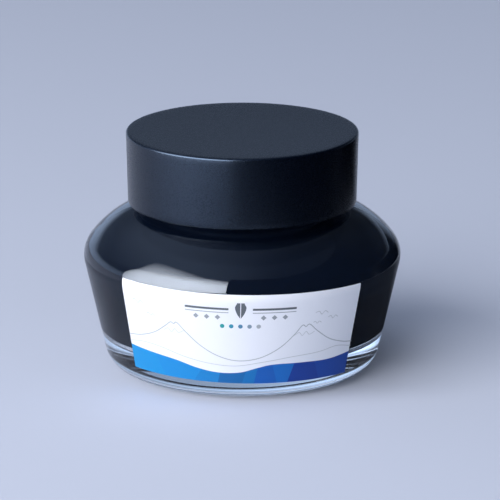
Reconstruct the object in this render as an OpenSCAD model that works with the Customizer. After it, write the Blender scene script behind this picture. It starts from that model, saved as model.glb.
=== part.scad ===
// Squat round glass ink bottle with a wide black screw cap.
// Origin: centre of the foot, on the surface the bottle stands on. +Z up, millimetres.
// The label faces -Y.

/* [Glass body] */
// Widest diameter of the body
body_d = 70; // [66:0.5:80]
// Height of the widest point
belly_z = 24.9; // [23:0.1:27]
// Lean of the side wall, narrower towards the foot, in degrees
side_taper = 12.7; // [8:0.1:15]
// Radius between the side and the shoulder
corner_r = 6; // [4:0.1:7]
// Slope of the shoulder where it leaves the corner, in degrees
shoulder_slope = 52.6; // [48:0.2:56]
// Radius of the domed shoulder
shoulder_r = 20.6; // [18:0.1:24]
// Radius between the side and the foot
heel_r = 5; // [3:0.1:6]
// Thickness of the side wall
wall_t = 5.8; // [4:0.1:6]
// Height at which the cavity inside is widest
inner_belly_z = 20.5; // [19:0.1:24]
// Thickness of the glass base
base_t = 7.2; // [5:0.1:8]
// Rise of the hollow under the foot
punt_h = 1.2; // [0.5:0.1:2]
// Width of the ring that the bottle stands on
foot_w = 2.6; // [1.5:0.1:4]

/* [Neck and thread] */
// Outer radius of the neck below the thread's crest
neck_r = 20.6; // [19:0.1:21]
// Radius of the bore through the neck
bore_r = 17.6; // [15:0.1:18]
// Height of the mouth's lip
lip_z = 48.2; // [47:0.1:49]
// Rise of the thread in one turn
thread_lead = 4.2333; // [4:0.01:4.5]
// How far each thread stands out of its wall
thread_h = 1.3; // [1:0.05:1.4]
// Length of each thread in turns
thread_turns = 1.25; // [1:0.05:1.35]

/* [Cap] */
// Height of the cap's lower rim
cap_z0 = 37; // [36.5:0.1:37.4]
// Height of the cap's top face
cap_z1 = 52.8; // [52.4:0.1:54]
// Radius of the cap at its lower rim
cap_r0 = 25.2; // [25:0.1:26]
// Radius of the cap at its top
cap_r1 = 25.55; // [25.4:0.1:26.5]
// Bevel round the top edge
cap_bevel = 0.45; // [0.2:0.05:0.8]
// Thickness of the cap's top
cap_top_t = 1.6; // [1.2:0.1:1.8]
// Thickness of the shell's side at the lower rim
shell_t = 1.4; // [1.2:0.05:1.6]

/* [Filling cup] */
// Wall thickness of the cup
cup_t = 1; // [0.8:0.1:1.4]
// Radius of the cup's well
well_r = 8; // [7:0.1:9]
// Height of the underside of the well
well_z = 9; // [8:0.1:11]
// Radius of the ports in the cup's cone
port_r = 2; // [1.5:0.1:2.2]

/* [Ink] */
// Height of the ink's surface
ink_z = 33; // [20:0.2:33.4]

/* [Label] */
// Angle that the label covers round the body, in degrees
label_deg = 96; // [60:1:120]
// Height of the label's lower edge
label_z0 = 4.3; // [4:0.1:6]
// Height of the label's upper edge
label_z1 = 25.4; // [24.5:0.1:27]
// Thickness of the paper
label_t = 0.12; // [0.08:0.01:0.2]

/* [Hidden] */
$fn = 96;

arc_steps = 14;                         // points on each round stretch of an outline
neck_fillet = 1.5;                      // blend between the shoulder and the neck
lip_round = 0.8;                        // rounding of the mouth's edges
inner_corner_r = 6;                     // corner of the cavity under the shoulder
inner_heel_r = 2.5;                     // corner of the cavity round its floor
inner_shoulder_r = 15;                  // the cavity's own dome
liquid_gap = 0.05;                      // keeps the ink's solid off the glass and the cup

flange_t = 0.9;                         // the cup's flange, on the lip
liner_t = 1;
liner_gap = 0.03;                       // above and below the sealing disc
flange_z1 = lip_z + flange_t;
liner_z0 = flange_z1 + liner_gap;
liner_z1 = liner_z0 + liner_t;
insert_top_z = liner_z1 + liner_gap;    // underside of the inner cap's top
insert_r = cap_r0 - shell_t - 0.4;      // outer radius of the inner cap between its ribs
insert_bore_r = neck_r + thread_h + 0.4;
insert_z0 = cap_z0 + 0.2;
shell_bore_r = cap_r0 - shell_t;
rib_count = 24;
rib_r = 0.6;
press = 0.01;                           // how far the ribs bite into the shell

thread_bury = 0.5;                      // root of each thread, inside its wall
root_half = 1.1;                        // half the thread's width where it leaves the wall
crest_half = 0.55;                      // half the thread's width at its crest
steps_per_turn = 40;
neck_thread_z = cap_z0 + 3.6;           // middle of the neck's thread where it starts
cap_thread_z = neck_thread_z - thread_lead / 2;

cup_sleeve_r = bore_r - 0.2;
cup_sleeve_z = 40;                      // the cup's sleeve turns into a cone here
cup_cone_z = 21;                        // and the cone into the well here
port_z = 26;
port_count = 3;

label_gap = 0.02;

function polar(a) = [cos(a), sin(a)];
function arc(c, r, a0, a1, n = arc_steps) = [for (i = [0:n]) c + r * polar(a0 + (a1 - a0) * i / n)];

// Centres of a body outline's heel and shoulder, from the centre of the corner between them.
function heel_c(corner_c, corner, heel, floor_z) =
    let (start = corner_c + corner * polar(-side_taper),
         end_z = floor_z + heel * (1 - sin(side_taper)),
         run = (start[1] - end_z) / cos(side_taper))
    [start[0] - run * sin(side_taper) - heel * cos(side_taper), floor_z + heel];
function shoulder_c(corner_c, corner, dome) = corner_c + (corner - dome) * polar(90 - shoulder_slope);

// Outline from the floor, up the side and over the shoulder into an upright neck.
function body_outline(corner_c, corner, heel, dome, floor_z, neck, fillet) =
    let (top = shoulder_c(corner_c, corner, dome),
         dx = neck + fillet - top[0],
         blend_c = [neck + fillet, top[1] + sqrt((dome + fillet) ^ 2 - dx ^ 2)],
         meet = acos(dx / (dome + fillet)))
    concat(arc(heel_c(corner_c, corner, heel, floor_z), heel, -90, -side_taper),
           arc(corner_c, corner, -side_taper, 90 - shoulder_slope),
           arc(top, dome, 90 - shoulder_slope, meet),
           arc(blend_c, fillet, 180 + meet, 180, 6));

function reversed(p) = [for (i = [len(p) - 1:-1:0]) p[i]];

outer_corner_c = [body_d / 2 - corner_r, belly_z];
inner_corner_c = [body_d / 2 - wall_t - inner_corner_r, inner_belly_z];
outer = body_outline(outer_corner_c, corner_r, heel_r, shoulder_r, 0, neck_r, neck_fillet);
function cavity(inset) = body_outline(inner_corner_c, inner_corner_r - inset, inner_heel_r - inset,
    inner_shoulder_r - inset, base_t + inset, bore_r - inset, neck_fillet + inset);

// One thread: a ridge that climbs round the axis and sinks into its wall at both ends.
// out is 1 for a thread on the outside of a wall and -1 for one on the inside.
module thread(wall_r, out, z0) {
    n = ceil(thread_turns * steps_per_turn);
    function swell(t) = min(1, 12 * t - 0.2, 12 * (1 - t) - 0.2);
    function ring(i) =
        let (t = i / n,
             a = 360 * thread_turns * t,
             z = z0 + thread_lead * thread_turns * t,
             crest = wall_r + out * thread_h * swell(t),
             root = wall_r - out * thread_bury)
        [for (p = [[root, -root_half], [crest, -crest_half], [crest, crest_half], [root, root_half]])
            [p[0] * cos(a), p[0] * sin(a), z + p[1]]];
    points = [for (i = [0:n]) each ring(i)];
    sides = [for (i = [0:n - 1], j = [0:3])
        let (a = 4 * i + j, b = 4 * i + (j + 1) % 4)
        each [[a, b, b + 4], [a, b + 4, a + 4]]];
    ends = [[3, 2, 1], [3, 1, 0], [4 * n, 4 * n + 1, 4 * n + 2], [4 * n, 4 * n + 2, 4 * n + 3]];
    faces = concat(sides, ends);
    polyhedron(points, out > 0 ? faces : [for (f = faces) reversed(f)], convexity = 6);
}

module glass_bottle() {
    foot_in = heel_c(outer_corner_c, corner_r, heel_r, 0)[0] - foot_w;
    color("lightblue", 0.5)
    union() {
        rotate_extrude()
            polygon(concat(
                [[0, punt_h], [foot_in - 2 * punt_h, punt_h], [foot_in, 0]],
                outer,
                arc([neck_r - lip_round, lip_z - lip_round], lip_round, 0, 90, 6),
                arc([bore_r + lip_round, lip_z - lip_round], lip_round, 90, 180, 6),
                reversed(cavity(0)),
                [[0, base_t]]));
        thread(neck_r, 1, neck_thread_z);
    }
}

module cup_outline(inset) {
    // inset 0 is the outside of the cup; inset cup_t is the inside
    polygon([[0, well_z + inset], [well_r - inset, well_z + inset], [well_r - inset, cup_cone_z],
             [cup_sleeve_r - inset, cup_sleeve_z], [cup_sleeve_r - inset, flange_z1], [0, flange_z1]]);
}

module cup_ports() {
    for (i = [0:port_count - 1])
        rotate([0, 0, 30 + 360 * i / port_count])
            translate([well_r - 2, 0, port_z])
                rotate([0, 90, 0])
                    cylinder(h = cup_sleeve_r - well_r + 3, r = port_r);
}

module ink_reservoir() {
    color([0.05, 0.05, 0.06])
    difference() {
        union() {
            rotate_extrude() cup_outline(0);
            translate([0, 0, lip_z]) cylinder(h = flange_t, r = neck_r - 0.6);
        }
        translate([0, 0, 0.01]) rotate_extrude() cup_outline(cup_t);
        cup_ports();
    }
}

module ink() {
    color("midnightblue")
    difference() {
        intersection() {
            rotate_extrude()
                polygon(concat([[0, base_t + liquid_gap]], cavity(liquid_gap), [[0, lip_z]]));
            cylinder(h = ink_z, r = body_d);
        }
        difference() {
            rotate_extrude() cup_outline(-liquid_gap);
            rotate_extrude() cup_outline(cup_t + liquid_gap);
        }
    }
}

module front_label() {
    // the side wall's own line, pushed out by a distance: straight, then round into the corner
    top_a = asin((label_z1 - belly_z) / corner_r);
    function side_line(out) =
        let (turn = arc(outer_corner_c, corner_r + out, -side_taper, top_a, 6),
             drop = turn[0][1] - label_z0)
        concat([turn[0] - drop * [tan(side_taper), 1]], turn);
    color("white")
    rotate([0, 0, -90 - label_deg / 2])
        rotate_extrude(angle = label_deg)
            polygon(concat(side_line(label_gap), reversed(side_line(label_gap + label_t))));
}

module cap_shell() {
    color([0.03, 0.035, 0.05])
    rotate_extrude()
        polygon([[shell_bore_r, cap_z0 + 0.3], [shell_bore_r + 0.3, cap_z0], [cap_r0 - 0.3, cap_z0],
                 [cap_r0, cap_z0 + 0.3], [cap_r1, cap_z1 - cap_bevel], [cap_r1 - cap_bevel, cap_z1],
                 [0, cap_z1], [0, cap_z1 - cap_top_t], [shell_bore_r, cap_z1 - cap_top_t]]);
}

module cap_insert() {
    color([0.06, 0.06, 0.07])
    union() {
        rotate_extrude()
            polygon([[insert_bore_r, insert_z0 + 0.4], [insert_bore_r + 0.4, insert_z0],
                     [shell_bore_r - 0.05, insert_z0], [shell_bore_r - 0.05, insert_z0 + 1],
                     [insert_r, insert_z0 + 1.4], [insert_r, cap_z1 - cap_top_t],
                     [0, cap_z1 - cap_top_t], [0, insert_top_z], [insert_bore_r, insert_top_z]]);
        for (i = [0:rib_count - 1])
            rotate([0, 0, 360 * i / rib_count])
                translate([shell_bore_r + press - rib_r, 0, insert_z0 + 0.5])
                    cylinder(h = cap_z1 - cap_top_t - insert_z0 - 1.5, r = rib_r, $fn = 24);
        thread(insert_bore_r, -1, cap_thread_z);
    }
}

module cap_liner() {
    color("white")
    translate([0, 0, liner_z0]) cylinder(h = liner_t, r = insert_bore_r - 0.5);
}

glass_bottle();
ink();
ink_reservoir();
front_label();
cap_shell();
cap_insert();
cap_liner();
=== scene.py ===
# Ink bottle: the looks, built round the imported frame. Lengths are millimetres until a mesh is made.
import math

import bmesh
import bpy
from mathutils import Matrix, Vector


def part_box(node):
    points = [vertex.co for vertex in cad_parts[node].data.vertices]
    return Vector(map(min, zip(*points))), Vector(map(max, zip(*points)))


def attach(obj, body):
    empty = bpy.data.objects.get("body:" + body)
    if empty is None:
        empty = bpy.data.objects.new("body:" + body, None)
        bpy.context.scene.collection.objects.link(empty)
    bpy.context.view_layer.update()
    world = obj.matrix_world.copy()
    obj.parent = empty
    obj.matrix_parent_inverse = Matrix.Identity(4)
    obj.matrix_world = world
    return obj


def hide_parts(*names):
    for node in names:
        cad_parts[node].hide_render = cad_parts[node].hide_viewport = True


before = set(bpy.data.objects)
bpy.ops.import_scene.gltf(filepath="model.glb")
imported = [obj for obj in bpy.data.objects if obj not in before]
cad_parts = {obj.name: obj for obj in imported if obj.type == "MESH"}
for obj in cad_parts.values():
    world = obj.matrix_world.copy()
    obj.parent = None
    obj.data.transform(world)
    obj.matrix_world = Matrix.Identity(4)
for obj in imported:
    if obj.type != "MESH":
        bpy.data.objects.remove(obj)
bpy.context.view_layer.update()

MM = 0.001


# ---------------------------------------------------------------- sizes

def node_box(node):
    """Lowest and highest corner of a CAD node, in millimetres."""
    lo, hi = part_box(node)
    return lo / MM, hi / MM


_, bottle_hi = node_box("glass_bottle")
shell_lo, shell_hi = node_box("cap_shell")
insert_lo, insert_hi = node_box("cap_insert")
liner_lo, liner_hi = node_box("cap_liner")
cup_lo, cup_hi = node_box("ink_reservoir")
ink_lo, ink_hi = node_box("ink")
label_lo, label_hi = node_box("front_label")

# the glass body
BODY_R = bottle_hi.x
LIP_Z = bottle_hi.z
BELLY_Z = 24.9                   # height of the widest point
SIDE_TAPER = 12.7                # degrees, narrower towards the foot
CORNER_R = 6.0
SHOULDER_SLOPE = 52.6            # degrees, where the shoulder leaves the corner
SHOULDER_R = 20.6
HEEL_R = 5.0
WALL_T = 5.8
LIQUID_GAP = 0.05                # between the ink's CAD solid and the glass
BASE_T = ink_lo.z - LIQUID_GAP
PUNT_H = 1.2                     # rise of the hollow under the foot
FOOT_W = 2.6
INNER_CORNER_R = 6.0
INNER_BELLY_Z = 20.5             # the cavity is widest lower down than the outside
INNER_HEEL_R = 2.5
INNER_SHOULDER_R = 15.0
SEAM_H = 0.035                   # the mould seams stand this far out
SEAM_HALF = 0.3

# the neck and the threads
NECK_R = 20.6
BORE_R = 17.6
NECK_FILLET = 1.5
LIP_ROUND = 0.8
THREAD_LEAD = 4.2333
THREAD_H = 1.3
THREAD_TURNS = 1.25
THREAD_SWELL = 12.0              # how fast a thread's ends rise, here over a tenth of its length
THREAD_BURY = 0.2                # share of that height that its two ends start below the wall
ROOT_HALF = 1.1                  # half a thread's width where it leaves the wall
CREST_HALF = 0.55                # and at its crest
NECK_THREAD_Z = shell_lo.z + 3.6
CAP_THREAD_Z = NECK_THREAD_Z - THREAD_LEAD / 2
INSERT_BORE_R = NECK_R + THREAD_H + 0.4      # clear of the neck's thread

# the cap
CAP_Z0 = shell_lo.z
CAP_Z1 = shell_hi.z
CAP_R0 = 25.2
CAP_R1 = shell_hi.x
CAP_BEVEL = 0.45
CAP_TOP_T = CAP_Z1 - insert_hi.z
CAP_DISH_H = 0.08                # the moulded top sinks by this much at its middle
CAP_DISH_EDGE = 1.4              # and is flat over this width round its edge
CAP_RIM_ROUND = 0.3
SHELL_T = 1.4
SHELL_BORE_R = CAP_R0 - SHELL_T
RIB_COUNT = 24
RIB_H = 0.4
INSERT_R = SHELL_BORE_R - RIB_H
INSERT_FOOT_ROUND = 0.4
INSERT_FLANGE_GAP = 0.05         # between the inner cap's flange and the shell

# the sealing disc
DISC_ROUND = 0.2
DISC_GAP = 0.03                  # between the disc and the inner cap
IMPRINT_H = 0.12                 # how deep the mouth has pressed into the disc
IMPRINT = (16.9, 17.3, 19.9, 20.3)   # radii where that groove starts, is deep, and ends

# the cup and the ink
CUP_T = 1.0
WELL_R = 8.0
WELL_ROUND = 1.0
CUP_CONE_Z = 21.0
CUP_SLEEVE_Z = 40.0
CUP_SLEEVE_R = BORE_R - 0.2
CUP_RIM_ROUND = 0.3
PORT_R = 2.0
PORT_Z = 26.0
PORT_COUNT = 3
PORT_TURN = 30.0                 # degrees, the first port's direction
PORT_CUT_R = 11.0                # where the middle of each port's cutter is, and how long it is
PORT_CUT_L = 12.0
INK_Z = ink_hi.z
INK_DRY_Z = 8.6                  # below this a film of air keeps the base glass bright
WET = 0.03                       # how far the ink's surface lies inside the glass and the cup
MENISCUS_H = 0.8                 # how far the ink climbs at a wall, and over what width

# the label
LABEL_DEG = 96.0
LABEL_Z0 = label_lo.z
LABEL_GAP = 0.02
LABEL_T = 0.12
LABEL_TILT = math.radians(1.1)   # the label is stuck on a little askew
LABEL_SHIFT = math.radians(-0.8)
LABEL_NARROWING = 0.02           # share of its angle that the label loses towards its top
PRINT_LIFT = 0.012               # the print's height over the paper

SEGMENTS = 256
SAME = 1e-4                      # radii closer than this are the same wall
ON_AXIS = 1e-6                   # and smaller ones than this are the axis


# ---------------------------------------------------------------- outlines, as (radius, height)

def polar(deg):
    return Vector((math.cos(math.radians(deg)), math.sin(math.radians(deg))))


def arc(centre, radius, start, end, steps=16):
    return [centre + radius * polar(start + (end - start) * i / steps) for i in range(steps + 1)]


def line(start, end, steps):
    start, end = Vector(start), Vector(end)
    return [start.lerp(end, i / steps) for i in range(steps + 1)]


def corner_centre(rmax, corner, belly_z=BELLY_Z):
    return Vector((rmax - corner, belly_z))


def heel_centre(rmax, corner, heel, floor_z, belly_z=BELLY_Z):
    start = corner_centre(rmax, corner, belly_z) + corner * polar(-SIDE_TAPER)
    lean = math.radians(SIDE_TAPER)
    run = (start.y - floor_z - heel * (1 - math.sin(lean))) / math.cos(lean)
    return Vector((start.x - run * math.sin(lean) - heel * math.cos(lean), floor_z + heel))


def body_outline(inset=0.0, inner=False):
    """From the floor, up the side and over the shoulder into the upright neck."""
    belly_z = INNER_BELLY_Z if inner else BELLY_Z
    rmax = BODY_R - (WALL_T if inner else 0) - inset
    corner = (INNER_CORNER_R if inner else CORNER_R) - inset
    heel = (INNER_HEEL_R if inner else HEEL_R) - inset
    dome = (INNER_SHOULDER_R if inner else SHOULDER_R) - inset
    floor_z = (BASE_T if inner else 0) + inset
    neck = (BORE_R if inner else NECK_R) - inset
    fillet = NECK_FILLET + inset
    turn_c = corner_centre(rmax, corner, belly_z)
    top = turn_c + (corner - dome) * polar(90 - SHOULDER_SLOPE)
    dx = neck + fillet - top.x
    blend = Vector((neck + fillet, top.y + math.sqrt((dome + fillet) ** 2 - dx ** 2)))
    meet = math.degrees(math.acos(dx / (dome + fillet)))
    rise = arc(heel_centre(rmax, corner, heel, floor_z, belly_z), heel, -90, -SIDE_TAPER, 20)
    turn = arc(turn_c, corner, -SIDE_TAPER, 90 - SHOULDER_SLOPE, 24)
    side = line(rise[-1], turn[0], 16)[1:-1]
    over = arc(top, dome, 90 - SHOULDER_SLOPE, meet, 30)[1:]
    up = arc(blend, fillet, 180 + meet, 180, 10)[1:]
    return rise + side + turn + over + up


def below(points, height):
    """The part of a rising outline that is under a height, cut off exactly there."""
    kept = []
    for a, b in zip(points, points[1:]):
        kept.append(a)
        if b.y >= height:
            kept.append(a.lerp(b, (height - a.y) / (b.y - a.y)))
            break
    return kept


# ---------------------------------------------------------------- mesh makers

def add_object(name, data):
    obj = bpy.data.objects.new(name, data)
    bpy.context.scene.collection.objects.link(obj)
    return obj


def mesh_object(name, verts, faces, body, material, sharp_deg=35):
    """A piece of the object: verts are in millimetres, and it rides on a body."""
    mesh = bpy.data.meshes.new(name)
    mesh.from_pydata([Vector(v) * MM for v in verts], [], faces)
    bm = bmesh.new()
    bm.from_mesh(mesh)
    bmesh.ops.recalc_face_normals(bm, faces=bm.faces)
    bm.to_mesh(mesh)
    bm.free()
    mesh.shade_smooth()
    mesh.set_sharp_from_angle(angle=math.radians(sharp_deg))
    mesh.materials.append(material)
    obj = add_object(name, mesh)
    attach(obj, body)
    return obj


def grid_faces(columns, rows):
    """The quads of a grid whose points run along each row from the left, lowest row first."""
    wide = columns + 1
    return [(t * wide + s, t * wide + s + 1, (t + 1) * wide + s + 1, (t + 1) * wide + s)
            for t in range(rows) for s in range(columns)]


def lathe(name, outline, body, material, shape=None, angles=None):
    """Turns an outline that starts and ends on the axis. shape(r, z, angle) may move each point."""
    angles = angles or [2 * math.pi * i / SEGMENTS for i in range(SEGMENTS)]
    count = len(angles)
    verts, rings, faces = [], [], []
    for r, z in outline:
        if r < ON_AXIS:
            rings.append([len(verts)])
            verts.append((0, 0, z))
            continue
        rings.append(list(range(len(verts), len(verts) + count)))
        for a in angles:
            rr, zz = shape(r, z, a) if shape else (r, z)
            verts.append((rr * math.cos(a), rr * math.sin(a), zz))
    for low, high in zip(rings, rings[1:]):
        for i in range(count):
            j = (i + 1) % count
            if len(low) == 1 and len(high) > 1:
                faces.append((low[0], high[j], high[i]))
            elif len(high) == 1 and len(low) > 1:
                faces.append((low[i], low[j], high[0]))
            elif len(low) > 1:
                faces.append((low[i], low[j], high[j], high[i]))
    return mesh_object(name, verts, faces, body, material)


def smooth_step(x):
    x = min(1.0, max(0.0, x))
    return x * x * (3 - 2 * x)


def thread_height(z, angle, start_z):
    """Height of a thread's ridge over its wall."""
    best = 0.0
    for turn in range(math.ceil(THREAD_TURNS)):
        t = (angle / (2 * math.pi) + turn) / THREAD_TURNS
        if t <= 1:
            off = abs(z - start_z - THREAD_LEAD * THREAD_TURNS * t)
            flank = smooth_step((ROOT_HALF - off) / (ROOT_HALF - CREST_HALF))
            swell = min(1, max(0, THREAD_SWELL * t - THREAD_BURY),
                        max(0, THREAD_SWELL * (1 - t) - THREAD_BURY))
            best = max(best, THREAD_H * flank * swell)
    return best


# ---------------------------------------------------------------- materials

def new_material(name):
    mat = bpy.data.materials.new(name)
    mat.use_nodes = True
    return mat, mat.node_tree, mat.node_tree.nodes["Principled BSDF"]


def add_bump(tree, shader, scale, strength, distance, detail=3.0, stretch=(1, 1, 1)):
    """Noise bump in the object's own space. scale is features per metre."""
    coord = tree.nodes.new("ShaderNodeTexCoord")
    mapping = tree.nodes.new("ShaderNodeMapping")
    mapping.inputs["Scale"].default_value = stretch
    noise = tree.nodes.new("ShaderNodeTexNoise")
    noise.inputs["Scale"].default_value = scale
    noise.inputs["Detail"].default_value = detail
    bump = tree.nodes.new("ShaderNodeBump")
    bump.inputs["Strength"].default_value = strength
    bump.inputs["Distance"].default_value = distance
    tree.links.new(coord.outputs["Object"], mapping.inputs["Vector"])
    tree.links.new(mapping.outputs["Vector"], noise.inputs["Vector"])
    tree.links.new(noise.outputs["Fac"], bump.inputs["Height"])
    tree.links.new(bump.outputs["Normal"], shader.inputs["Normal"])
    return noise


def vary(tree, source, target, low, high):
    """Drives a shader socket by a noise, between two values."""
    ramp = tree.nodes.new("ShaderNodeMapRange")
    ramp.inputs["From Min"].default_value = 0.3
    ramp.inputs["From Max"].default_value = 0.7
    ramp.inputs["To Min"].default_value = low
    ramp.inputs["To Max"].default_value = high
    tree.links.new(source.outputs["Fac"], ramp.inputs["Value"])
    tree.links.new(ramp.outputs["Result"], target)


def glass_material():
    mat, tree, shader = new_material("clear_glass")
    shader.inputs["Base Color"].default_value = (0.93, 0.965, 0.98, 1)
    shader.inputs["Roughness"].default_value = 0.01
    shader.inputs["IOR"].default_value = 1.51
    shader.inputs["Transmission Weight"].default_value = 1.0
    add_bump(tree, shader, 60, 0.12, 0.0003, 1.0)
    return mat


def ink_material():
    mat, tree, shader = new_material("ink_blue_black")
    shader.inputs["Base Color"].default_value = (0.002, 0.004, 0.010, 1)
    shader.inputs["IOR"].default_value = 1.34
    shader.inputs["Specular IOR Level"].default_value = 0.12       # it is mostly seen through glass
    noise = add_bump(tree, shader, 60, 0.1, 0.0002, 1.0)
    vary(tree, noise, shader.inputs["Roughness"], 0.03, 0.07)
    return mat


def plastic_material(name, colour, rough, grain, strength, tint=(1, 1, 1)):
    """Moulded plastic with a fine spark-eroded grain. grain is its features per metre."""
    mat, tree, shader = new_material(name)
    shader.inputs["Base Color"].default_value = (*colour, 1)
    shader.inputs["IOR"].default_value = 1.49
    shader.inputs["Specular Tint"].default_value = (*tint, 1)
    noise = add_bump(tree, shader, grain, strength, 0.00003)
    vary(tree, noise, shader.inputs["Roughness"], rough - 0.03, rough + 0.03)
    return mat


def paper_material(name, colour):
    """Coated paper: a faint fibre grain under a slight gloss."""
    mat, tree, shader = new_material(name)
    noise = add_bump(tree, shader, 5200, 0.12, 0.00002, 4.0, (1, 1, 0.35))
    tone = tree.nodes.new("ShaderNodeMixRGB")
    tone.inputs["Color1"].default_value = (*[c * 0.97 for c in colour], 1)
    tone.inputs["Color2"].default_value = (*colour, 1)
    tree.links.new(noise.outputs["Fac"], tone.inputs["Fac"])
    tree.links.new(tone.outputs["Color"], shader.inputs["Base Color"])
    vary(tree, noise, shader.inputs["Roughness"], 0.38, 0.46)
    shader.inputs["Specular IOR Level"].default_value = 0.35
    shader.inputs["Coat Weight"].default_value = 0.05
    shader.inputs["Coat Roughness"].default_value = 0.2
    return mat


GLASS = glass_material()
INK = ink_material()
CUP = plastic_material("cup_black", (0.010, 0.010, 0.013), 0.35, 2600, 0.2)
CAP_BLACK = plastic_material("cap_satin_black", (0.0006, 0.0015, 0.005), 0.27, 5200, 0.1, (0.64, 0.80, 1))
CAP_INNER = plastic_material("cap_inner_black", (0.016, 0.016, 0.019), 0.42, 3600, 0.3)
LINER = plastic_material("liner_foam_white", (0.78, 0.78, 0.75), 0.6, 2600, 0.6)
PAPER = paper_material("label_white", (0.86, 0.87, 0.92))


# ---------------------------------------------------------------- glass and ink

def seam_angles():
    """Even steps, with a few close ones at the two mould seams on the sides."""
    even = [2 * math.pi * i / SEGMENTS for i in range(SEGMENTS)]
    close = [side + off / BODY_R for side in (0, math.pi) for off in (-0.5, -0.25, 0.25, 0.5)]
    return sorted(a % (2 * math.pi) for a in even + close)


def glass_shape(r, z, angle):
    """The details of the glass that aren't turned: its thread and its mould seams."""
    if abs(r - NECK_R) < SAME and z > CAP_Z0:
        return r + thread_height(z, angle, NECK_THREAD_Z), z
    outside = z > 0.5 and r > inner_limit(z)
    if outside:
        off = abs(math.sin(angle)) * r
        return r + SEAM_H * math.exp(-(off / SEAM_HALF) ** 2), z
    return r, z


def inner_limit(z):
    """A radius inside the wall at each height, which tells the outer surface from the cavity."""
    slope = 0.23 if z < BELLY_Z else 1.4
    return BODY_R - WALL_T / 2 - abs(BELLY_Z - z) * slope


def glass_outline():
    foot_out = heel_centre(BODY_R, CORNER_R, HEEL_R, 0).x
    foot_in = foot_out - FOOT_W
    dip = [Vector((foot_in - 2 * PUNT_H * (1 - t / 8), PUNT_H * (0.5 + 0.5 * math.cos(math.pi * t / 8))))
           for t in range(9)]
    dip[-1].y = 0.0
    foot = line((foot_in + 0.5, 0), (foot_out - 0.3, 0), 4)      # the flat ring it stands on
    outer = body_outline()
    neck = line(outer[-1], (NECK_R, LIP_Z - LIP_ROUND), 64)[1:]
    lip = arc(Vector((NECK_R - LIP_ROUND, LIP_Z - LIP_ROUND)), LIP_ROUND, 0, 90, 8)[1:]
    lip += arc(Vector((BORE_R + LIP_ROUND, LIP_Z - LIP_ROUND)), LIP_ROUND, 90, 180, 8)
    cavity = body_outline(inner=True)
    inside = line(lip[-1], cavity[-1], 8)[1:-1] + cavity[::-1]
    return [Vector((0, PUNT_H))] + dip + foot + outer + neck + lip + inside + [Vector((0, BASE_T))]


def make_glass():
    piece = lathe("bottle_glass", glass_outline(), "bottle", GLASS,
                  glass_shape, seam_angles())
    piece.visible_shadow = False       # light reaches the base and the floor under it through the glass
    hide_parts("glass_bottle")


def meniscus(r, walls):
    """Height of the ink's surface: it climbs a little at each wall."""
    return INK_Z + MENISCUS_H * sum(math.exp(-abs(r - wall) / MENISCUS_H) for wall in walls)


def cup_radius(z, inset):
    t = (z - CUP_CONE_Z) / (CUP_SLEEVE_Z - CUP_CONE_Z)
    return WELL_R + (CUP_SLEEVE_R - WELL_R) * t - inset


def make_ink():
    """The fill round the cup and the fill in the cup, each with its own meniscus."""
    top_z = INK_Z + MENISCUS_H
    walls = (below(body_outline(-WET, inner=True), top_z)[-1].x, cup_radius(INK_Z, 0))
    outside = [low if low.y < INK_DRY_Z else wet
               for low, wet in zip(body_outline(WET, inner=True), body_outline(-WET, inner=True))]
    outside = below(outside, top_z)
    surface = [Vector((r, meniscus(r, walls))) for r in
               [walls[0] + (walls[1] - walls[0]) * smooth_step(i / 28) for i in range(1, 29)]]
    cup_side = [Vector((WELL_R - WET, CUP_CONE_Z)), Vector((WELL_R - WET, cup_lo.z + WET)),
                Vector((0, cup_lo.z + WET))]
    outline = [Vector((0, BASE_T + WET))] + outside + surface + cup_side
    main = lathe("ink_fill", outline, "bottle", INK)
    well_r = WELL_R - CUP_T + WET
    wall = cup_radius(INK_Z, CUP_T)
    well_z = cup_lo.z + CUP_T - WET
    surface = [Vector((r, meniscus(r, (wall,)))) for r in [wall * (1 - i / 20) for i in range(21)]]
    outline = [Vector((0, well_z)), Vector((well_r, well_z)), Vector((well_r, CUP_CONE_Z))] + surface
    well = lathe("ink_in_cup", outline, "bottle", INK)
    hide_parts("ink")
    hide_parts("ink")


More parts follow.
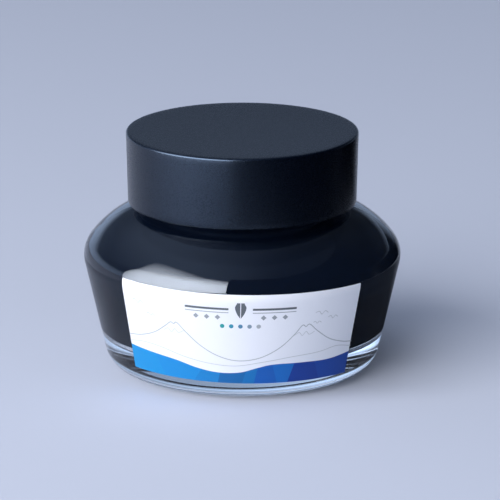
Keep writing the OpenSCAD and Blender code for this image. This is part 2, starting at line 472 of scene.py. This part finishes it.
def make_cup():
    flange_r = cup_hi.x
    rim_z = cup_hi.z - CUP_RIM_ROUND
    outline = [Vector((0, cup_lo.z))]
    outline += arc(Vector((WELL_R - WELL_ROUND, cup_lo.z + WELL_ROUND)), WELL_ROUND, -90, 0, 6)
    outline += line((WELL_R, CUP_CONE_Z), (CUP_SLEEVE_R, CUP_SLEEVE_Z), 8)
    outline += [Vector((CUP_SLEEVE_R, LIP_Z)), Vector((flange_r - 0.2, LIP_Z))]
    outline += arc(Vector((flange_r - CUP_RIM_ROUND, rim_z)), CUP_RIM_ROUND, 0, 90, 5)
    outline += arc(Vector((CUP_SLEEVE_R - CUP_T + CUP_RIM_ROUND, rim_z)), CUP_RIM_ROUND, 90, 180, 5)
    outline += line((CUP_SLEEVE_R - CUP_T, CUP_SLEEVE_Z), (WELL_R - CUP_T, CUP_CONE_Z), 8)
    outline += [Vector((WELL_R - CUP_T, cup_lo.z + CUP_T)), Vector((0, cup_lo.z + CUP_T))]
    cup = lathe("filling_cup", outline, "bottle", CUP)
    for i in range(PORT_COUNT):
        turn = math.radians(PORT_TURN + 360 * i / PORT_COUNT)
        bpy.ops.mesh.primitive_cylinder_add(vertices=48, radius=PORT_R * MM, depth=PORT_CUT_L * MM)
        cutter = bpy.context.object
        cutter.rotation_euler = (0, math.pi / 2, turn)
        cutter.location = Vector((math.cos(turn) * PORT_CUT_R, math.sin(turn) * PORT_CUT_R, PORT_Z)) * MM
        cut = cup.modifiers.new("port", "BOOLEAN")
        cut.operation = "DIFFERENCE"
        cut.object = cutter
        bpy.context.view_layer.update()
        bpy.context.view_layer.objects.active = cup
        bpy.ops.object.modifier_apply(modifier=cut.name)
        bpy.data.objects.remove(cutter)
    cup.data.set_sharp_from_angle(angle=math.radians(35))
    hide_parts("ink_reservoir")


# ---------------------------------------------------------------- label

label_corner = corner_centre(BODY_R, CORNER_R)
label_turn = label_corner + CORNER_R * polar(-SIDE_TAPER)
label_straight = (label_turn.y - LABEL_Z0) / math.cos(math.radians(SIDE_TAPER))
label_top_deg = math.degrees(math.asin((label_hi.z - BELLY_Z) / CORNER_R))
LABEL_H = label_straight + CORNER_R * math.radians(label_top_deg + SIDE_TAPER)
LABEL_R = 34.0                   # radius at which u is a length
LABEL_W = LABEL_R * math.radians(LABEL_DEG)


def on_label(u, v, lift):
    """A point of the label. u runs to the right and v up, both from the lower edge's middle."""
    dv = v - LABEL_H / 2
    u, v = (u * math.cos(LABEL_TILT) + dv * math.sin(LABEL_TILT),
            dv * math.cos(LABEL_TILT) - u * math.sin(LABEL_TILT) + LABEL_H / 2)
    if v < label_straight:
        out = polar(-SIDE_TAPER)
        along = Vector((-out.y, out.x))
        at = label_turn + (v - label_straight) * along
    else:
        out = polar(-SIDE_TAPER + math.degrees((v - label_straight) / CORNER_R))
        at = label_corner + CORNER_R * out
    at = at + out * lift
    a = u / LABEL_R * (1 - LABEL_NARROWING * v / LABEL_H) + LABEL_SHIFT
    return (at.x * math.sin(a), -at.x * math.cos(a), at.y)


def patch(name, place, columns, rows, material):
    """A print patch: place(s, t) gives (u, v) for s and t from 0 to 1."""
    top = LABEL_GAP + LABEL_T + PRINT_LIFT
    verts = [on_label(*place(s / columns, t / rows), top) for t in range(rows + 1)
             for s in range(columns + 1)]
    faces = grid_faces(columns, rows)
    piece = mesh_object(name, verts, faces, "bottle", material, 80)
    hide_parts("front_label")


def stroke(name, points, width, material):
    """A printed line through points, with an even width."""
    pts = [Vector(p) for p in points]
    sides = []
    for i, p in enumerate(pts):
        way = (pts[min(i + 1, len(pts) - 1)] - pts[max(i - 1, 0)]).normalized()
        sides.append(Vector((-way.y, way.x)) * width / 2)
    count = len(pts) - 1

    def place(s, t):
        i = round(s * count)
        return pts[i] + sides[i] * (2 * t - 1)
    patch(name, place, count, 1, material)


def spline(points, steps=12):
    """A smooth curve through points."""
    pts = [Vector(p) for p in points]
    pts = [2 * pts[0] - pts[1]] + pts + [2 * pts[-1] - pts[-2]]
    out = []
    for a, b, c, d in zip(pts, pts[1:], pts[2:], pts[3:]):
        for i in range(steps):
            t = i / steps
            out.append(0.5 * (2 * b + (c - a) * t + (2 * a - 5 * b + 4 * c - d) * t ** 2
                              + (3 * b - 3 * c + d - a) * t ** 3))
    return out + [pts[-2]]


def make_paper():
    """The label's sheet, with both faces and its cut edges."""
    columns, rows = 120, 24
    place = [(LABEL_W * (s / columns - 0.5), LABEL_H * t / rows)
             for t in range(rows + 1) for s in range(columns + 1)]
    back = [on_label(u, v, LABEL_GAP) for u, v in place]
    front = [on_label(u, v, LABEL_GAP + LABEL_T) for u, v in place]
    wide = columns + 1
    quads = grid_faces(columns, rows)
    shift = len(place)
    faces = quads + [tuple(i + shift for i in q[::-1]) for q in quads]
    rim = list(range(wide)) + [t * wide + columns for t in range(1, rows + 1)]
    rim += [rows * wide + s for s in range(columns - 1, -1, -1)]
    rim += [t * wide for t in range(rows - 1, 0, -1)]
    faces += [(a, b, b + shift, a + shift) for a, b in zip(rim, rim[1:] + rim[:1])]
    piece = mesh_object("label_sheet", back + front, faces, "bottle", PAPER, 50)
    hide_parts("front_label")


def srgb(*colour):
    """A screen colour, 0 to 255, as the shader's linear one."""
    return tuple((c / 255 / 12.92) if c <= 10 else ((c / 255 + 0.055) / 1.055) ** 2.4 for c in colour)


def make_wave():
    """The faceted band of blues along the label's foot, in millimetres as all the print is."""
    half = LABEL_W / 2
    crest = spline([(-half, 5.7), (-22, 5.2), (-15.5, 4.5), (-10, 3.2), (-5, 2.5), (0, 2.7), (4, 3.8),
                    (8, 4.6), (15, 4.6), (22, 4.5), (half, 5.2)], 14)

    def height(u):
        for a, b in zip(crest, crest[1:]):
            if b.x >= u:
                return a.lerp(b, (u - a.x) / (b.x - a.x)).y
        return crest[-1].y

    # each facet's foot and head on its left side, and its colour
    facets = [(-half, -half, (0, 134, 198)), (-18.5, -21, (0, 130, 198)), (-11, -9, (0, 121, 189)),
              (-5.2, -4.6, (0, 97, 162)), (0.6, 1.4, (0, 109, 178)), (3.4, 4.2, (0, 88, 175)),
              (9.0, 7.6, (0, 102, 186)), (11.6, 13.0, (0, 56, 148)), (20, 18.2, (2, 66, 158)),
              (half, half, None)]
    for i, (left, right) in enumerate(zip(facets, facets[1:])):
        def place(s, t, left=left, right=right):
            lean_l = left[0] + (left[1] - left[0]) * t
            lean_r = right[0] + (right[1] - right[0]) * t
            u = lean_l + (lean_r - lean_l) * s
            return u, height(u) * t
        patch(f"label_wave_{i}", place, 14, 6, paper_material(f"print_blue_{i}", srgb(*left[2])))


def make_hills():
    """Two distant mountains in thin grey line, with birds over them."""
    grey = paper_material("print_grey_line", srgb(176, 180, 184))
    pale = paper_material("print_pale_line", srgb(200, 203, 206))
    ridge = [(-28.6, 8.2), (-24.5, 8.9), (-20.5, 10.4), (-17.6, 12.4), (-16.0, 13.7), (-15.2, 13.4),
             (-14.4, 13.8), (-12.4, 11.8), (-9.0, 8.8), (-5.0, 6.6), (-0.5, 5.6), (4.5, 6.3),
             (9.0, 8.6), (12.2, 11.6), (14.0, 13.8), (14.9, 13.4), (15.8, 13.9), (18.0, 12.0),
             (21.5, 9.6), (25.5, 8.2), (28.8, 7.6)]
    stroke("label_ridge", spline(ridge, 8), 0.2, grey)
    near = [(-28.6, 6.6), (-24, 7.3), (-19, 7.0), (-13, 5.6), (-7, 4.6), (-1, 4.3), (5, 5.2),
            (12, 6.2), (19, 6.7), (24, 7.4), (28.8, 6.5)]
    stroke("label_near_ridge", spline(near, 8), 0.16, pale)
    for i, side in enumerate((-15.2, 14.9)):
        snow = [(side - 2.6, 11.5), (side - 1.5, 12.1), (side - 0.7, 11.3), (side + 0.2, 12.2),
                (side + 1.0, 11.4), (side + 2.3, 12.0)]
        stroke(f"label_snow_{i}", spline(snow, 6), 0.14, pale)
    birds = [(18.5, 16.0, 1.6), (21.6, 14.6, 1.3), (17.6, 13.9, 1.0), (-24.2, 16.8, 1.5),
             (-20.9, 14.4, 1.1)]
    for i, (u, v, span) in enumerate(birds):
        wing = [(u - span, v + 0.35 * span), (u - 0.45 * span, v + 0.5 * span), (u, v),
                (u + 0.5 * span, v + 0.45 * span), (u + 1.05 * span, v + 0.1 * span)]
        stroke(f"label_bird_{i}", spline(wing, 6), 0.16, pale)


def make_ornament():
    """A generic nib between rules, and a row of shade dots under it."""
    dark = paper_material("print_dark_grey", srgb(92, 98, 104))
    mid = paper_material("print_mid_grey", srgb(150, 155, 160))
    mid_v = 17.9

    def nib_half(x):
        """Half the nib's width, for x from 0 at the point to 1 at its back end."""
        swell = math.sin(math.pi * min(1, x * 1.25) / 2) ** 0.8
        return 1.25 * swell * (1 - 0.35 * smooth_step((x - 0.7) / 0.3))

    def nib(sign):
        return lambda s, t: (sign * (0.09 + max(0, nib_half(s) - 0.09) * t), mid_v - 1.9 + 3.8 * s)
    patch("label_nib_left", nib(-1), 24, 4, dark)
    patch("label_nib_right", nib(1), 24, 4, dark)
    for side, tag in ((-1, "left"), (1, "right")):
        rule = [(side * (2.6 + 9.6 * i / 24), mid_v + 0.35) for i in range(25)]
        stroke(f"label_rule_{tag}", rule, 0.5, dark)
        rule = [(side * (2.6 + 9.6 * i / 24), mid_v - 0.5) for i in range(25)]
        stroke(f"label_fine_rule_{tag}", rule, 0.18, mid)
        for j, at in enumerate((5.0, 7.4, 9.8)):
            def diamond(s, t, at=at):
                return (side * at + (s - t) * 0.62, mid_v - 1.7 + (s + t - 1) * 0.62)
            patch(f"label_diamond_{tag}_{j}", diamond, 2, 2, mid)
    shades = [(30, 150, 150), (50, 140, 165), (80, 130, 160), (130, 150, 165), (170, 175, 180)]
    for i, shade in enumerate(shades):
        def dot(s, t, i=i):
            a = 2 * math.pi * s
            return ((i - 2) * 2.0 + 0.5 * t * math.cos(a), 14.1 + 0.5 * t * math.sin(a))
        patch(f"label_dot_{i}", dot, 20, 2, paper_material(f"print_shade_{i}", srgb(*shade)))


# ---------------------------------------------------------------- cap

def make_cap_shell():
    side_lean = (CAP_R1 - CAP_R0) / (CAP_Z1 - CAP_Z0)
    dish = [Vector(((CAP_R1 - CAP_DISH_EDGE) * t / 12, CAP_Z1 - CAP_DISH_H * (1 - (t / 12) ** 2)))
            for t in range(13)]
    edge = arc(Vector((CAP_R1 - CAP_BEVEL, CAP_Z1 - CAP_BEVEL)), CAP_BEVEL, 90, 0, 10)
    low_r = CAP_R0 + side_lean * CAP_RIM_ROUND
    rim_z = CAP_Z0 + CAP_RIM_ROUND
    side = line(edge[-1], (low_r, rim_z), 14)[1:-1]
    rim = arc(Vector((low_r - CAP_RIM_ROUND, rim_z)), CAP_RIM_ROUND, 0, -90, 5)
    rim += arc(Vector((SHELL_BORE_R + CAP_RIM_ROUND, rim_z)), CAP_RIM_ROUND, -90, -180, 5)
    roof = CAP_Z1 - CAP_TOP_T
    inside = line(rim[-1], (SHELL_BORE_R, roof), 6)[1:]
    outline = dish + edge + side + rim + inside + [Vector((0, roof))]
    piece = lathe("cap_outer", outline, "cap", CAP_BLACK)
    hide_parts("cap_shell")


def insert_shape(r, z, angle):
    """The inner cap's thread inside and its press ribs outside."""
    if abs(r - INSERT_BORE_R) < SAME:
        return r - thread_height(z, angle, CAP_THREAD_Z), z
    if abs(r - INSERT_R) < SAME:
        rib = math.cos(angle * RIB_COUNT)
        return r + RIB_H * smooth_step((rib - 0.75) / 0.2), z
    return r, z


def make_cap_insert():
    top = insert_hi.z
    under = liner_hi.z + DISC_GAP
    foot_z = insert_lo.z + INSERT_FOOT_ROUND
    flange_r = SHELL_BORE_R - INSERT_FLANGE_GAP
    bore = line((INSERT_BORE_R, under), (INSERT_BORE_R, foot_z), 72)
    foot = arc(Vector((INSERT_BORE_R + INSERT_FOOT_ROUND, foot_z)), INSERT_FOOT_ROUND, 180, 270, 5)[1:]
    flange = arc(Vector((flange_r - 0.2, insert_lo.z + 0.2)), 0.2, -90, 0, 4)
    outer = line((INSERT_R, insert_lo.z + 1.4), (INSERT_R, top), 6)
    outline = [Vector((0, under))] + bore + foot + flange
    outline += [Vector((flange_r, insert_lo.z + 1))] + outer + [Vector((0, top))]
    piece = lathe("cap_inner", outline, "cap", CAP_INNER, insert_shape)
    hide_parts("cap_insert")


def make_liner():
    low, high = liner_lo.z, liner_hi.z
    edge_r = liner_hi.x - DISC_ROUND
    imprint = [Vector((r, low + rise)) for r, rise in zip(IMPRINT, (0, IMPRINT_H, IMPRINT_H, 0))]
    outline = [Vector((0, low))] + imprint
    outline += arc(Vector((edge_r, low + DISC_ROUND)), DISC_ROUND, -90, 0, 4)
    outline += arc(Vector((edge_r, high - DISC_ROUND)), DISC_ROUND, 0, 90, 4) + [Vector((0, high))]
    piece = lathe("sealing_disc", outline, "seal", LINER)
    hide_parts("cap_liner")


# ---------------------------------------------------------------- studio, in metres

FLOOR_HALF = 1.3
# The black cards round the bottle are seen only in reflections: painted dark reflections, and the ones
# lying on the floor a painted shadow beside the bottle.
SHADE_CARD_R = 0.13                    # the standing cards' distance from the axis
LOW_SHADE_CARD_R = 0.135
FLOOR_SHADE_CARD_Z = 0.0004            # a card lying on the floor

# how bright the window is along each side of its frame, from 0 to 1
WINDOW_ACROSS = ((0, 0.2), (0.3, 0.9), (0.6, 1), (1, 0.75))
WINDOW_UP = ((0, 0.9), (0.35, 1), (0.65, 0.6), (1, 0))
WINDOW_CORE = 18.0

WORLD_COLOUR = (0.54, 0.70, 1.0, 1)
BACKDROP = 0.55                  # the world's brightness where the camera sees it directly


def make_floor():
    mat, tree, shader = new_material("pale_floor")
    noise = add_bump(tree, shader, 900, 0.05, 0.0001)
    shader.inputs["Base Color"].default_value = (*srgb(176, 180, 194), 1)
    shader.inputs["Specular IOR Level"].default_value = 0.0
    vary(tree, noise, shader.inputs["Roughness"], 0.5, 0.6)
    mesh = bpy.data.meshes.new("floor")
    corners = [(x * FLOOR_HALF, y * FLOOR_HALF, 0) for x, y in ((-1, -1), (1, -1), (1, 1), (-1, 1))]
    mesh.from_pydata(corners, [], [(0, 1, 2, 3)])
    mesh.materials.append(mat)
    floor = add_object("floor", mesh)


def reflection_shade_material():
    """Dead black painted shade for reflections, as solid as the mesh says at each point."""
    mat, tree, shader = new_material("painted_reflection_shade")
    shader.inputs["Base Color"].default_value = (0.0, 0.0, 0.0, 1)
    shader.inputs["Roughness"].default_value = 1.0
    shader.inputs["Specular IOR Level"].default_value = 0.0
    solid = tree.nodes.new("ShaderNodeAttribute")
    solid.attribute_name = "solid"
    tree.links.new(solid.outputs["Fac"], shader.inputs["Alpha"])
    return mat


def reflection_shade_arc(from_deg, to_deg, low, high, fade, material, steps=32):
    """A strip of card round the upright axis, seen by reflections only, where it paints dark reflections.

    Angles run from the front to the right, low and high are (radius, height) of its two edges, and
    fade(t) is how solid it is from its start, 0, to its end, 1.
    """
    verts, faces, solid = [], [], []
    for i in range(steps + 1):
        t = i / steps
        a = math.radians(from_deg + (to_deg - from_deg) * t)
        verts += [(r * math.sin(a), -r * math.cos(a), z) for r, z in (low, high)]
        solid += [fade(t)] * 2
        if i:
            faces.append((2 * i - 2, 2 * i, 2 * i + 1, 2 * i - 1))
    mesh = bpy.data.meshes.new("card")
    mesh.from_pydata(verts, [], faces)
    layer = mesh.attributes.new("solid", "FLOAT", "POINT")
    layer.data.foreach_set("value", solid)
    mesh.materials.append(material)
    card = add_object("card", mesh)
    for seen in ("camera", "diffuse", "transmission", "volume_scatter", "shadow"):
        setattr(card, "visible_" + seen, False)


def make_reflection_shade_cards():
    """Black cards round the bottle that only reflections see, painting dark reflections: standing at the
    front and right, and lying on the floor as a painted shadow.
    """
    card = reflection_shade_material()

    def standing(from_deg, to_deg, radius, height, fade):
        reflection_shade_arc(from_deg, to_deg, (radius, 0), (radius, height), fade, card)

    def lying(from_deg, to_deg, outer, fade):
        reflection_shade_arc(from_deg, to_deg, (0.04, FLOOR_SHADE_CARD_Z), (outer, FLOOR_SHADE_CARD_Z), fade, card)
    standing(-10, 132, SHADE_CARD_R, 0.17, lambda t: min(1, 3.5 * (1 - t)))
    standing(90, 152, LOW_SHADE_CARD_R, 0.05, lambda t: min(1, 4 * t, 5 * (1 - t)))
    standing(-50, -10, SHADE_CARD_R, 0.022, lambda t: min(1, 2 * t))
    # cards lying on the floor: a painted shadow that only reflections see
    lying(10, 170, 0.125, lambda t: 0.9 * min(1, 4 * t, 3.5 * (1 - t)))
    lying(-175, -55, 0.11, lambda t: 0.4 * min(1, 4 * t, 4 * (1 - t)))


def make_light(name, at, facing, size, radiance, colour):
    """A rectangular light, unseen by the camera, whose brightness doesn't change with its size."""
    data = bpy.data.lights.new(name, "AREA")
    data.shape = "RECTANGLE"
    data.size, data.size_y = size
    data.energy = radiance * math.pi * size[0] * size[1]
    data.color = colour
    light = add_object(name, data)
    light.location = at
    light.rotation_euler = Vector(facing).to_track_quat("-Z", "Y").to_euler()
    light.visible_camera = light.visible_transmission = False
    return light


def shade_window(light):
    """The window fades upwards and to the left, by its own frame."""
    light.data.use_nodes = True
    tree = light.data.node_tree
    place = tree.nodes.new("ShaderNodeNewGeometry")
    split = tree.nodes.new("ShaderNodeSeparateXYZ")
    tree.links.new(place.outputs["Parametric"], split.inputs["Vector"])
    strengths = []
    for axis, points in (("X", WINDOW_ACROSS), ("Y", WINDOW_UP)):
        curve = tree.nodes.new("ShaderNodeFloatCurve")
        line_points = curve.mapping.curves[0].points
        line_points[0].location, line_points[1].location = points[0], points[-1]
        for point in points[1:-1]:
            line_points.new(*point)
        curve.mapping.update()
        tree.links.new(split.outputs[axis], curve.inputs["Value"])
        strengths.append(curve.outputs["Value"])
    product = tree.nodes.new("ShaderNodeMath")
    product.operation = "MULTIPLY"
    tree.links.new(strengths[0], product.inputs[0])
    tree.links.new(strengths[1], product.inputs[1])
    scaled = tree.nodes.new("ShaderNodeMath")
    scaled.operation = "MULTIPLY"
    scaled.inputs[1].default_value = WINDOW_CORE
    tree.links.new(product.outputs["Value"], scaled.inputs[0])
    tree.links.new(scaled.outputs["Value"], tree.nodes["Emission"].inputs["Strength"])


def make_camera():
    distance, elevation = 0.8852, math.radians(15.91)
    target = Vector((0, 0, 0.0262))
    back = Vector((0, -math.cos(elevation), math.sin(elevation)))
    data = bpy.data.cameras.new("camera")
    data.lens, data.sensor_width = 288, 36
    data.shift_x, data.shift_y = 0.0154, -0.007
    data.clip_start, data.clip_end = 0.05, 50
    cam = add_object("camera", data)
    cam.location = target + back * distance
    cam.rotation_euler = (-back).to_track_quat("-Z", "Y").to_euler()
    bpy.context.scene.camera = cam


def make_world():
    """A soft room: brightest overhead on the left, dim behind, dark in front and low down.

    Rays that have come through glass see an extra glow, which stands in for the light that a thick
    glass base gathers, and the camera itself sees a plain backdrop.
    """
    world = bpy.data.worlds.new("studio")
    bpy.context.scene.world = world
    world.use_nodes = True
    tree = world.node_tree
    coord = tree.nodes.new("ShaderNodeTexCoord")
    parts = tree.nodes.new("ShaderNodeSeparateXYZ")
    tree.links.new(coord.outputs["Generated"], parts.inputs["Vector"])
    across, behind, up = (parts.outputs[axis] for axis in "XYZ")

    def ramp(source, low, high, to_low, to_high):
        node = tree.nodes.new("ShaderNodeMapRange")
        node.interpolation_type = "SMOOTHSTEP"
        for key, value in (("From Min", low), ("From Max", high), ("To Min", to_low), ("To Max", to_high)):
            node.inputs[key].default_value = value
        tree.links.new(source, node.inputs["Value"])
        return node.outputs["Result"]

    def combine(operation, *operands):
        """A math node of two operands, each an output of a node or a number."""
        node = tree.nodes.new("ShaderNodeMath")
        node.operation = operation
        for socket, operand in zip(node.inputs, operands):
            if isinstance(operand, float):
                socket.default_value = operand
            else:
                tree.links.new(operand, socket)
        return node.outputs["Value"]

    def times(a, b):
        return combine("MULTIPLY", a, b)

    def plus(a, b):
        return combine("ADD", a, b)
    rays = tree.nodes.new("ShaderNodeLightPath")
    from_camera, from_glass = rays.outputs["Is Camera Ray"], rays.outputs["Is Transmission Ray"]
    ceiling = times(ramp(up, 0.30, 0.95, 0.14, 0.8), ramp(across, -0.55, 0.45, 1.0, 0.12))
    horizon = times(ramp(up, 0.12, 0.26, 1.0, 0.0), ramp(across, -0.9, 0.6, 0.95, 0.5))
    horizon = times(horizon, ramp(behind, -0.6, 0.1, 0.1, 1.15))
    glow = times(from_glass, ramp(across, -0.8, 0.1, 0.9, 0.45))
    light = plus(plus(ceiling, horizon), glow)
    light = plus(times(light, combine("SUBTRACT", 1.0, from_camera)), times(from_camera, BACKDROP))
    background = tree.nodes["Background"]
    background.inputs["Color"].default_value = WORLD_COLOUR
    tree.links.new(light, background.inputs["Strength"])


def make_lights():
    """One window for the reflections, and soft lights for everything matt."""
    window = make_light("window", (-0.35, -0.33, 0.36), (0.76, 0.5, 0), (0.86, 0.72), 1.0,
                        (0.78, 0.86, 1.0))
    window.visible_diffuse = False
    shade_window(window)
    soft = [("window_light", (-0.6, -0.6, 0.72), (0.7, 0.62, -0.35), (1.1, 0.8), 7.5, (0.98, 0.99, 1.0)),
            ("fill", (-1.5, 0.9, 0.6), (1, -0.5, -0.4), (1.2, 0.8), 1.1, (0.9, 0.95, 1.0)),
            ("ceiling", (0, 0, 1.5), (0, 0, -1), (2.2, 2.2), 0.42, (0.86, 0.92, 1.0)),
            ("room", (0.9, -1.2, 0.7), (-0.6, 0.8, -0.35), (1.6, 1.2), 0.55, (0.8, 0.88, 1.0))]
    for placing in soft:
        make_light(*placing).visible_glossy = False


def make_studio():
    bpy.context.scene.view_settings.view_transform = "Standard"
    make_world()
    make_lights()
    make_floor()
    make_reflection_shade_cards()


make_camera()
make_glass()
make_ink()
make_cup()
make_paper()
make_wave()
make_hills()
make_ornament()
make_cap_shell()
make_cap_insert()
make_liner()
make_studio()
